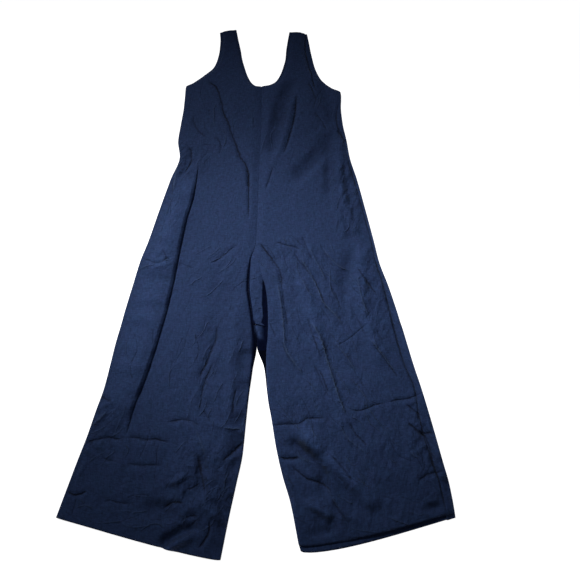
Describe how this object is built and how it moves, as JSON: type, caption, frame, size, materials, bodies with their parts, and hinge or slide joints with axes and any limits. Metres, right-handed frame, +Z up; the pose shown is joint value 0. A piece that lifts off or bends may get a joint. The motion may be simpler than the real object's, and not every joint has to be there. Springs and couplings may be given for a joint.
{
  "type": "sleeveless wide-leg jumpsuit",
  "caption": "Sleeveless scoop-neck jumpsuit with long wide legs, woven cloth, laid flat face up with soft folds.",
  "frame": {"origin": "middle of the bounding box in plan, on the surface that the garment lies on", "axes": "+Z up out of the surface and out of the garment's front, +Y from the hems to the shoulders, +X to the wearer's left"},
  "size_m": [0.848, 1.3992, 0.0075],
  "materials": {
    "cloth": "matt navy plain weave with slubs, soft creases and a faint blue bloom"
  },
  "bodies": {
    "root": {"front_right": "cloth", "front_left": "cloth", "back_right": "cloth", "back_left": "cloth"}
  },
  "joints": []
}
